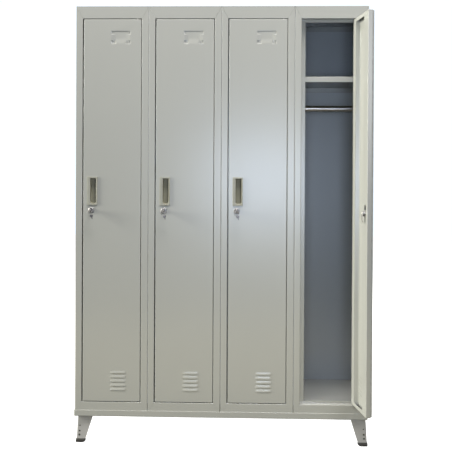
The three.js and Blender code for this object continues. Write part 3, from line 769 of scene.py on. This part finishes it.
def door_skin(column):
    """The door's face with its folded edges. The latch side has no lip, since the channel
    closes it, and the hinge side's lip is as wide as the box section."""
    bm = bmesh.new()
    least_corner = 0.25 * MM
    profile = arc((DOOR_BEND, FACE + DOOR_BEND), DOOR_BEND, 270, 180, 6)
    profile += arc((DOOR_BEND, REAR - DOOR_BEND), DOOR_BEND, 180, 90, 5) + [Vector((DOOR_LIP, REAR))]

    def ring(inset, y):
        latch = LATCH_TURN * min(inset, DOOR_BEND) if y > 0 else inset
        hinge = HINGE_BOX if inset > 2 * DOOR_BEND else inset
        left, right = PAN_LOW.x + latch, PAN_HIGH.x - hinge
        bounds = rectangle(left, right, PAN_LOW.z + inset, PAN_HIGH.z - inset)
        corner = max(DOOR_CORNER - inset, least_corner)
        return [Vector((x, y, z)) for x, z in rounded(bounds, corner, True, 4)]

    loops = add_rings(bm, [ring(*point) for point in profile])
    on_face = lambda points: [bm.verts.new((x, FACE, z)) for x, z in points]
    handle_low, handle_high = [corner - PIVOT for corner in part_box("handle_1")]
    cup = ((handle_low.x + handle_high.x) / 2 + CUP_OFFSET, (handle_low.z + handle_high.z) / 2)
    width, height = CUP_WIDTH + CUP_ROOM, CUP_HEIGHT + CUP_ROOM
    handle = on_face(pocket(cup, width, height, CUP_UPPER_CORNER, CUP_CORNER))
    lock = on_face(circle((LOCK.x, LOCK.z), LOCK_BODY + FIT))
    card = add_card_frame(bm)
    louvres = [add_louvre(bm, LOUVRE_LOWEST + i * LOUVRE_PITCH) for i in range(LOUVRES)]
    fill(bm, [loops[0], handle, lock, card, *louvres])
    return made(f"door_skin_{column}", bm, door_place(column))


def add_door(column):
    body = f"door_{column}"
    skin = door_skin(column)
    thicken(skin, SHEET)
    finish(skin, PAINT, "paint", body, f"door_panel_{column}", smooth=50)
    add_hinge_box(column)
    add_channel(column)
    add_handle(column)


def add_hinge_box(column):
    """The box section's inner wall, with a foot along the skin."""
    edge = PAN_HIGH.x - HINGE_BOX
    fold = edge - HINGE_SLANT
    skin = FACE + SHEET + FIT + SHEET / 2
    path = [(edge + SHEET / 2, REAR - SHEET - EASE), (fold, skin), (fold - HINGE_FOOT, skin)]
    bm = bmesh.new()
    low, high = PAN_LOW.z + SHEET + FIT, PAN_HIGH.z - SHEET - FIT
    add_sheet(bm, rounded(path, BEND, False), SHEET, lambda _: low, lambda _: high, along_z)
    piece = made(f"hinge_box_wall_{column}", bm, door_place(column))
    finish(piece, PAINT, "paint", f"door_{column}")


def add_channel(column):
    """A hat section behind the latch edge, with an arched window over the lock."""
    low, high = [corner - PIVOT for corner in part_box("door_channel_1")]
    half = SHEET / 2
    latch, hinge = low.x + half, high.x - CHANNEL_FOOT
    front, rear = low.y + half, high.y - half
    path = [(latch, front), (latch, rear), (hinge, rear), (hinge, front), (high.x, front)]
    bm = bmesh.new()
    add_sheet(bm, rounded(path, BEND, False), SHEET, lambda _: low.z, lambda _: high.z, along_z)
    gap = SHEET + CHANNEL_TAB_GAP
    tab = rounded(rectangle(low.x + gap, hinge - gap, low.y, high.y - gap), BEND, True, 3)
    for end in (low.z, high.z - SHEET):
        add_capped(bm, [[Vector((x, y, z)) for x, y in tab] for z in (end, end + SHEET)])
    piece = made(f"latch_channel_{column}", bm)
    cut(piece, rear_cutter(window_outline()))
    cut(piece, rear_cutter(circle((LOCK.x, LOCK.z), LOCK_BODY + FIT)))
    piece.data.transform(door_place(column))
    finish(piece, PAINT, "paint", f"door_{column}", f"door_channel_{column}")


def window_outline():
    low = LOCK.z + WINDOW_ABOVE_LOCK
    high = low + WINDOW_HEIGHT
    foot, head = WINDOW_WIDTH / 2, WINDOW_WIDTH / 3
    arch = rounded([(-foot, low), (foot, low), (head, high), (-head, high)], WINDOW_CORNER)
    return [Vector((LOCK.x + x, z)) for x, z in arch]


def rear_cutter(outline):
    """A closed prism through the sheet at the door's rear."""
    bm = bmesh.new()
    ends = (REAR - CUTTER_REACH, REAR + CUTTER_REACH)
    add_capped(bm, [[Vector((x, y, z)) for x, z in outline] for y in ends])
    return bm


def add_handle(column):
    """A moulded cup: a rounded bezel, and a recess whose hinge-side wall leans over. The recess takes a
    darker olive, as painted shade.
    """
    low, high = [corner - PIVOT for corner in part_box("handle_1")]
    centre = ((low.x + high.x) / 2, (low.z + high.z) / 2)
    cup = (centre[0] + CUP_OFFSET, centre[1])
    width, height = high.x - low.x, high.z - low.z
    rim = low.y + CUP_RIM
    floor = high.y - CUP_WALL
    rings = []

    def bezel(inset, y):
        corner = max(BEZEL_CORNER - inset, 0.8 * MM)
        outline = pocket(centre, width - 2 * inset, height - 2 * inset, corner, corner)
        rings.append([Vector((x, y, z)) for x, z in outline])

    def recess(inset, depth):
        """The recess at a share of its depth, narrower on the hinge side as it deepens."""
        wide, tall = CUP_WIDTH - 2 * inset, CUP_HEIGHT - 2 * inset
        outline = pocket(cup, wide, tall, CUP_UPPER_CORNER, CUP_CORNER - inset)
        left = cup[0] - wide / 2
        lean = 1 - CUP_SLOPE * depth
        y = rim + (floor - rim) * depth
        rings.append([Vector((left + (x - left) * lean, y, z)) for x, z in outline])

    bezel(0.3 * MM, FACE - FIT)
    bezel(0, FACE - FIT - 0.4 * MM)
    for i in range(5):
        turn = math.radians(22.5 * i)
        bezel(BEZEL_ROUND * (1 - math.cos(turn)), low.y + BEZEL_ROUND * (1 - math.sin(turn)))
    for inset, depth in CUP_SECTION:
        recess(inset * MM, depth)
    bm = bmesh.new()
    loops = add_rings(bm, rings)
    fill(bm, [loops[-1]])
    piece = made(f"handle_cup_{column}", bm)
    thicken(piece, CUP_SHEET)
    finish(piece, OLIVE, "handle_plastic", f"door_{column}", f"handle_{column}", smooth=60)
    # The faces deep in the cup take the darker olive: painted shade.
    piece.data.materials.append(OLIVE_PAINTED_SHADE)
    recess_from = rim + 0.1 * MM
    for polygon in piece.data.polygons:
        polygon.material_index = 1 if polygon.center.y > recess_from else 0
    piece.data.transform(door_place(column))


# ---- Locks, measured from the lock's axis at the door's face ----
def across(u, v, w):
    """Turned solids of a lock run along +Y, into the door."""
    return Vector((u, w, v))


def add_lock(column):
    place = lock_place(column)
    origin = Vector(joints["lock_1_turn"]["pos_m"])
    reach = lambda part: [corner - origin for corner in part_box(f"{part}_1")]
    low, high = reach("lock_housing")
    flange = high.x
    lead_in = 0.9 * MM
    dome = 0.3 * MM
    rim_width, rim_height = LOCK_RIM
    shell = [
        (PLUG_BORE, low.y + lead_in), (PLUG_BORE + lead_in, low.y), (flange - rim_width, low.y + dome),
        (flange, low.y + rim_height), (flange, -FIT), (LOCK_BODY, -FIT), (LOCK_BODY, high.y),
        (PLUG_BORE, high.y),
    ]
    bm = bmesh.new()
    add_turned(bm, eased(shell, 0.35 * MM), across)
    nut_from = REAR - FACE + FIT
    nut = rounded(circle((0, 0), NUT_REACH, 6), 0.8 * MM, True, 2)
    bore = circle((0, 0), LOCK_BODY + 0.05 * MM, 36)
    add_plate(bm, nut, [bore], lambda u, v, w: Vector((u, nut_from + w, v)), NUT, 0.5 * MM)
    piece = made(f"lock_barrel_{column}", bm, place)
    finish(piece, NICKEL, "chrome", f"door_{column}", f"lock_housing_{column}")
    add_cam(column, place, *reach("lock_cam"))
    if f"key_{column}" in frame["nodes"]:
        add_key(column, place, *reach("key"))


def add_cam(column, place, low, high):
    """The plug with its keyway, and the cam with its screw behind it."""
    half = high.x
    cam_rear = high.y - CAM_SCREW_HEAD
    cam_front = cam_rear - CAM_SHEET
    face = low.y + PLUG_SINK
    edge = 0.5 * MM
    plug = [(0, face), (PLUG - edge, face), (PLUG, face + edge), (PLUG, cam_front), (0, cam_front)]
    bm = bmesh.new()
    add_turned(bm, plug, across)
    piece = made(f"lock_plug_{column}", bm)
    tool = bmesh.new()
    bmesh.ops.create_cube(tool, size=1.0)
    bmesh.ops.scale(tool, vec=KEYWAY, verts=tool.verts)
    cut(piece, tool)
    piece.data.transform(place)
    finish(piece, NICKEL, "zinc_steel", f"lock_{column}")
    outline = arc((0, low.z + half), half, 180, 360, 12) + arc((0, 0), half, 0, 180, 12)
    seat = cam_rear - 0.2 * MM
    head = [
        (0, seat), (CAM_SCREW, seat), (CAM_SCREW, high.y - 0.9 * MM),
        (0.72 * CAM_SCREW, high.y - 0.1 * MM), (0, high.y),
    ]
    bm = bmesh.new()
    on_cam = lambda u, v, w: Vector((u, cam_front + w, v))
    add_plate(bm, outline, [], on_cam, CAM_SHEET, 0.35 * MM)
    add_turned(bm, eased(head, 0.3 * MM), across, 28)
    piece = made(f"cam_plate_{column}", bm, place)
    finish(piece, ZINC, "zinc_steel", f"lock_{column}", f"lock_cam_{column}")


def key_outline(bow, bow_centre, shank_end, tip, blade):
    """A round bow, a shank and a blade with cuts along its lower edge, as (y, z) points."""
    half = blade / 2
    edge = math.degrees(math.asin(half / bow))
    points = arc((bow_centre, 0), bow, edge, 360 - edge, 28)
    step = (tip - KEY_NOSE - shank_end) / len(KEY_CUTS)
    for i, depth in enumerate(KEY_CUTS):
        y = shank_end + i * step
        points.append(Vector((y, -half)))
        points += [Vector((y + share * step, depth - half)) for share in (0.35, 0.65)]
    points += [Vector((tip - KEY_NOSE, -half)), Vector((tip, 0)), Vector((tip - 0.6 * KEY_NOSE, half))]
    return points


def add_key(column, place, low, high):
    bow = high.z
    bow_centre = low.y + bow
    hole_y = bow_centre - bow / 2
    outline = key_outline(bow, bow_centre, 2 * MM, high.y, KEY_BLADE)
    half = KEY_THICKNESS / 2
    on_key = lambda u, v, w: Vector((w - half, u, v))
    bm = bmesh.new()
    add_plate(bm, outline, [circle((hole_y, 0), bow / 4, 16)], on_key, KEY_THICKNESS, 0.3 * MM)
    piece = made(f"key_plate_{column}", bm, place)
    finish(piece, NICKEL, "chrome", f"lock_{column}", f"key_{column}")
    add_key_ring(column, place, hole_y)
    add_spare_key(column, place, hole_y)


def add_key_ring(column, place, hole_y):
    """A ring of flattened wire that hangs in the bow of the key."""
    wire = [(RING_RADIUS + x, 1.4 * y) for x, y in circle((0, 0), RING_WIRE, 8)]
    bm = bmesh.new()
    add_turned(bm, wire, lambda u, v, w: Vector((u, hole_y + w, v - 0.9 * RING_RADIUS)), 48)
    finish(made(f"key_ring_{column}", bm, place), NICKEL, "chrome", f"lock_{column}")


def add_spare_key(column, place, hole_y):
    """A smaller key that hangs from the ring, a little aside and tilted, in a nickel darkened as painted
    shade.
    """
    bow = SPARE_BOW
    outline = key_outline(bow, 0, 1.1 * bow, 2.2 * bow, KEY_BLADE * SPARE_SIZE)
    hole = circle((-bow / 2, 0), bow / 4, 14)
    tilt = Matrix.Rotation(math.radians(-SPARE_TILT), 4, "Y")
    hang = Matrix.Translation((SPARE_ASIDE, hole_y, -1.9 * RING_RADIUS)) @ tilt
    half = SPARE_THICKNESS / 2
    on_key = lambda u, v, w: hang @ Vector((v, w - half, -u - bow / 2))
    bm = bmesh.new()
    add_plate(bm, outline, [hole], on_key, SPARE_THICKNESS, 0.2 * MM)
    finish(made(f"spare_key_{column}", bm, place), NICKEL_PAINTED_SHADE, "chrome", f"lock_{column}")


# ---- Inside a column ----
def add_inside(column):
    low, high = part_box(f"shelf_{column}")
    half = SHEET / 2
    front, rear = low.y + half, high.y - half
    foot, top = low.z + half, high.z - half
    path = [(front + SHELF_RETURN, foot), (front, foot), (front, top), (rear, top), (rear, low.z)]
    name = f"shelf_folds_{column}"
    sheet_piece(name, path, low.x, high.x, along_x, PAINT, "inside_paint", f"shelf_{column}")
    add_rail(column)
    add_pins(column)


def add_rail(column):
    low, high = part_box(f"hanging_rail_{column}")
    y, z = (low.y + high.y) / 2, (low.z + high.z) / 2
    radius = (high.z - low.z) / 2
    bore = radius - RAIL_WALL
    place = lambda u, v, w: Vector((w, y + u, z + v))
    bm = bmesh.new()
    tube = [(radius, low.x), (radius, high.x), (bore, high.x), (bore, low.x)]
    add_turned(bm, eased(tube, 0.3 * MM, 2), place, 48)
    finish(made(f"rail_tube_{column}", bm), CHROME, "chrome", "cabinet", f"hanging_rail_{column}")
    bm = bmesh.new()
    inner = radius + FIT
    outer = inner + SOCKET_WALL
    for end, inward in ((low.x, 1), (high.x, -1)):
        wall = end - SOCKET_SINK * inward
        step = wall + SOCKET_SHEET * inward
        mouth = wall + SOCKET_DEPTH * inward
        flange = [(2 * radius, wall), (2 * radius, step)]
        socket = [(inner, wall), *flange, (outer, step), (outer, mouth), (inner, mouth)]
        add_turned(bm, eased(socket, 0.5 * MM), place, 40)
    finish(made(f"rail_sockets_{column}", bm), CHROME, "chrome", "cabinet")


def add_pins(column):
    x, y, _ = joints[f"door_{column}_hinge"]["pos_m"]
    place = lambda u, v, w: Vector((x + u, y + v, w))
    for end in ("lower", "upper"):
        node = f"hinge_pin_{end}_{column}"
        low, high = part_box(node)
        radius = (high.x - low.x) / 2
        bm = bmesh.new()
        pin = [(0, low.z), (radius, low.z), (radius, high.z), (0, high.z)]
        add_turned(bm, eased(pin, 0.7 * MM), place, 28)
        finish(made(f"pin_{end}_{column}", bm), ZINC, "zinc_steel", "cabinet", node)


# ---- Legs: sideways and rearwards are the signs of X and Y at a leg ----
def leg_corner(sideways, rearwards, z):
    """The outer corner of a leg at a height: it splays as it goes down."""
    splay = LEG_SPLAY * (1 - z / LEG_HEIGHT)
    inset = LEG_INSET_LEFT if sideways < 0 else LEG_INSET_RIGHT
    x = sideways * (RIGHT - inset + splay)
    y = (FRONT + BACK) / 2 + rearwards * ((BACK - FRONT) / 2 - LEG_INSET + splay)
    return Vector((x, y, z))


def leg_wing(z):
    """The width of a leg's wings at a height."""
    return LEG_FOOT_WING + (LEG_TOP_WING - LEG_FOOT_WING) * z / LEG_HEIGHT


def add_leg(leg, sideways, rearwards):
    """Two wings joined by a round fold at the leg's outer corner."""
    low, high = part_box(f"leg_{leg}")
    bm = bmesh.new()
    inward = (Vector((-sideways, 0, 0)), Vector((0, -rearwards, 0)))
    foot, head = leg_wing(low.z), leg_wing(high.z)
    folds = []
    for along in inward:
        on_wing = lambda u, z: leg_corner(sideways, rearwards, z) + along * u
        outline = [(LEG_BEND, low.z), (foot, low.z), (head, high.z), (LEG_BEND, high.z)]
        edge = [bm.verts.new(on_wing(u, z)) for u, z in outline]
        holes = []
        for height, radius in LEG_HOLES:
            points = circle((LEG_HOLE_INSET, height), radius, 24)
            holes.append([bm.verts.new(on_wing(u, z)) for u, z in points])
        fill(bm, [edge, *holes])
        folds.append((edge[0], edge[3]))
    steps = 6
    strips = []
    for level, z in enumerate((low.z, high.z)):
        corner = leg_corner(sideways, rearwards, z)
        strip = [folds[0][level]]
        for i in range(1, steps):
            turn = math.pi / 2 * i / steps
            first = inward[0] * LEG_BEND * (1 - math.sin(turn))
            second = inward[1] * LEG_BEND * (1 - math.cos(turn))
            strip.append(bm.verts.new(corner + first + second))
        strips.append(strip + [folds[1][level]])
    for i in range(steps):
        bm.faces.new((strips[0][i], strips[0][i + 1], strips[1][i + 1], strips[1][i]))
    piece = made(f"leg_fold_{leg}", bm)
    outward = -(inward[0] + inward[1])
    if max(piece.data.polygons, key=lambda face: face.area).normal.dot(outward) < 0:
        piece.data.flip_normals()
    thicken(piece, LEG_SHEET)
    finish(piece, LEG_PAINT_SHADED, "paint", "cabinet", f"leg_{leg}")
    add_leg_screws(leg, sideways, rearwards, inward)
    add_leg_plate(leg, sideways, rearwards, high.z)
    add_shoe(leg, sideways, rearwards)


def add_leg_screws(leg, sideways, rearwards, inward):
    """Screws whose heads are behind the wings, and whose stems fill the holes from there. Their near-black
    stems also paint the shade in the holes.
    """
    bm = bmesh.new()
    for along, into in (inward, inward[::-1]):
        for height, radius in LEG_HOLES:
            centre = leg_corner(sideways, rearwards, height) + along * LEG_HOLE_INSET
            on_hole = lambda u, v, w: centre + along * u + Vector((0, 0, v)) + into * w
            stem = radius - FIT / 2
            head = stem + SCREW_COLLAR
            seat = LEG_SHEET + 2 * FIT
            rear = seat + SCREW_HEAD
            front = SCREW_SINK
            screw = [(0, front), (stem, front), (stem, seat), (head, seat), (head, rear), (0, rear)]
            add_turned(bm, eased(screw, 0.2 * MM), on_hole, 20)
    finish(made(f"leg_screws_{leg}", bm), DARK_STEEL_HOLE_SHADE, "zinc_steel", "cabinet")


def add_leg_plate(leg, sideways, rearwards, top):
    """The plate that joins a leg's wings under the body, with its two bolts."""
    x, y, _ = leg_corner(sideways, rearwards, LEG_HEIGHT)
    near = LEG_SHEET + 0.2 * MM
    far = LEG_TOP_WING - 2 * MM
    half = 0.45 * far
    outline = rounded([(near, near), (far, near), (far, half), (half, far), (near, far)], 3 * MM)
    under = top - LEG_SHEET - 0.1 * MM
    place = lambda u, v, w: Vector((x - sideways * u, y - rearwards * v, under + w))
    on_bolt = lambda u, v, w: place(u, v, w - PLATE_BOLT_HEAD - 0.2 * MM)
    bm = bmesh.new()
    add_plate(bm, outline, [], place, LEG_SHEET, 0.25 * MM)
    for centre in ((0.68 * far, 0.25 * far), (0.25 * far, 0.68 * far)):
        add_plate(bm, circle(centre, PLATE_BOLT, 6), [], on_bolt, PLATE_BOLT_HEAD, 0.5 * MM)
    finish(made(f"leg_plate_{leg}", bm), LEG_PAINT_SHADED, "paint", "cabinet")


def add_shoe(leg, sideways, rearwards):
    """A moulded shoe round the foot of a leg, with a rounded sole and a stepped collar."""
    low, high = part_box(f"shoe_{leg}")

    def ring(margin, z, radius, pulled=0.0):
        """The leg's section at a height, wider by a margin, with its wings pulled back."""
        corner = leg_corner(sideways, rearwards, z)
        wing = leg_wing(z) + margin - pulled
        near, sheet = -margin, LEG_SHEET + margin
        outline = [(near, near), (wing, near), (wing, sheet), (sheet, sheet), (sheet, wing), (near, wing)]
        points = rounded(outline, radius, True, 4)
        return [Vector((corner.x - sideways * u, corner.y - rearwards * v, z)) for u, v in points]

    rings = []
    for i in range(7):
        turn = math.radians(15 * i)
        pull = 1 - math.sin(turn)
        z = low.z + SHOE_TOE * (1 - math.cos(turn))
        rings.append(ring(SHOE_WALL - SHOE_SOFT * pull, z, 2.0 * MM, 1.2 * SHOE_TOE * pull))
    collar = high.z - 5 * MM
    neck = SHOE_WALL - 0.5 * MM
    rings += [
        ring(SHOE_WALL, collar, 2.4 * MM),
        ring(neck, collar + 0.8 * MM, 2.2 * MM),
        ring(neck, high.z - 0.7 * MM, 2.2 * MM),
        ring(neck - 0.5 * MM, high.z, 2.0 * MM),
        ring(SHOE_ROOM, high.z, 0.6 * MM),
        ring(SHOE_ROOM, low.z + SHOE_SOLE, 0.6 * MM),
    ]
    bm = bmesh.new()
    add_capped(bm, rings)
    piece = made(f"foot_shoe_{leg}", bm)
    finish(piece, BLACK, "black_plastic", "cabinet", f"shoe_{leg}", smooth=50)


# ---- Camera, light and floor ----
CAMERA_AT = Vector((0.1533, FRONT - 3.732, 1.0886))
CAMERA_TURN = 2.045  # towards the cabinet's left, in degrees as the next two
CAMERA_TILT = -0.39
CAMERA_ROLL = 0.2925
CAMERA_SENSOR = 36  # millimetres, as the lens
CAMERA_LENS = 72.51
CAMERA_SHIFT = -0.0885

WORLD_LIGHT = 0.04  # strength of the background as light on the cabinet
WORLD_SHOWN = 1.2  # and as seen by the camera
FLOOR_REACH = 14.0


def add_camera():
    data = bpy.data.cameras.new("camera")
    data.lens = CAMERA_LENS
    data.sensor_width = CAMERA_SENSOR
    data.shift_y = CAMERA_SHIFT
    place = Matrix.Translation(CAMERA_AT)
    for angle, axis in ((CAMERA_TURN, "Z"), (90 + CAMERA_TILT, "X"), (CAMERA_ROLL, "Z")):
        place = place @ Matrix.Rotation(math.radians(angle), 4, axis)
    camera = new_object("camera", data)
    camera.matrix_world = place
    bpy.context.scene.camera = camera


def add_light(name, at, target, width, height, power, color):
    data = bpy.data.lights.new(name, "AREA")
    data.shape = "RECTANGLE"
    data.size = width
    data.size_y = height
    data.energy = power
    data.color = color
    light = new_object(name, data)
    light.location = at
    light.rotation_euler = (Vector(target) - Vector(at)).to_track_quat("-Z", "Y").to_euler()


def add_surroundings():
    """A white room: the background, six soft lights, and a floor that glows for the camera
    only, so that it sends no light up at the cabinet."""
    world = bpy.data.worlds.new("studio")
    world.use_nodes = True
    tree = world.node_tree
    seen = new_node(tree, "ShaderNodeLightPath").outputs["Is Camera Ray"]
    strength = spread(tree, seen, 0.0, 1.0, WORLD_LIGHT, WORLD_SHOWN)
    background = tree.nodes["Background"]
    background.inputs["Color"].default_value = rgb(0.84, 0.92, 1)
    tree.links.new(strength, background.inputs["Strength"])
    bpy.context.scene.world = world
    bpy.context.scene.view_settings.view_transform = "Standard"

    add_light("key", (-6.5, -0.92, 2.6), (0.5, -0.3, 0.95), 1.3, 2.8, 1130, (1.0, 1.0, 0.925))
    add_light("window", (0.24, -4.2, 1.09), (0.2, FRONT, 1.09), 0.95, 0.6, 44, (0.65, 0.78, 1.0))
    add_light("overhead", (0.3, -1.25, 5.0), (0.3, -0.1, 0.2), 2.2, 1.0, 340, (1.0, 0.98, 0.98))
    add_light("front", (2.4, -4.5, 2.0), (0.3, -0.2, 0.9), 1.4, 1.4, 60, (0.95, 0.96, 1.0))
    add_light("bounce", (0.15, -1.35, 0.1), (0.15, FRONT, 0.3), 2.4, 0.5, 4.8, (1.0, 0.87, 0.5))
    add_light("rear", (3.2, 4.6, 3.4), (0.0, BACK, 0.9), 2.4, 2.4, 560, (1.0, 0.99, 0.96))

    bm = bmesh.new()
    bmesh.ops.create_grid(bm, x_segments=2, y_segments=2, size=FLOOR_REACH)
    floor = made("floor", bm)
    material, tree, shader, place = base_material("floor_paper")
    drift = noise(tree, place, 3.0, 2.0)
    tone = blend(tree, drift, rgb(0.33, 0.325, 0.315), rgb(0.3, 0.295, 0.285))
    tree.links.new(tone, shader.inputs["Base Color"])
    shader.inputs["Roughness"].default_value = 0.9
    shader.inputs["Emission Color"].default_value = rgb(1, 1, 1)
    shader.inputs["Emission Strength"].default_value = 1.0
    floor.data.materials.append(material)
    floor.visible_diffuse = False
    floor.visible_glossy = False


add_camera()
add_surroundings()
add_shell()
for number in range(1, COLUMNS + 1):
    add_frame(number)
    add_inside(number)
    add_door(number)
    add_lock(number)
for leg_end, leg_rearwards in (("front", -1), ("rear", 1)):
    for leg_side, leg_sideways in (("left", -1), ("right", 1)):
        add_leg(f"{leg_end}_{leg_side}", leg_sideways, leg_rearwards)
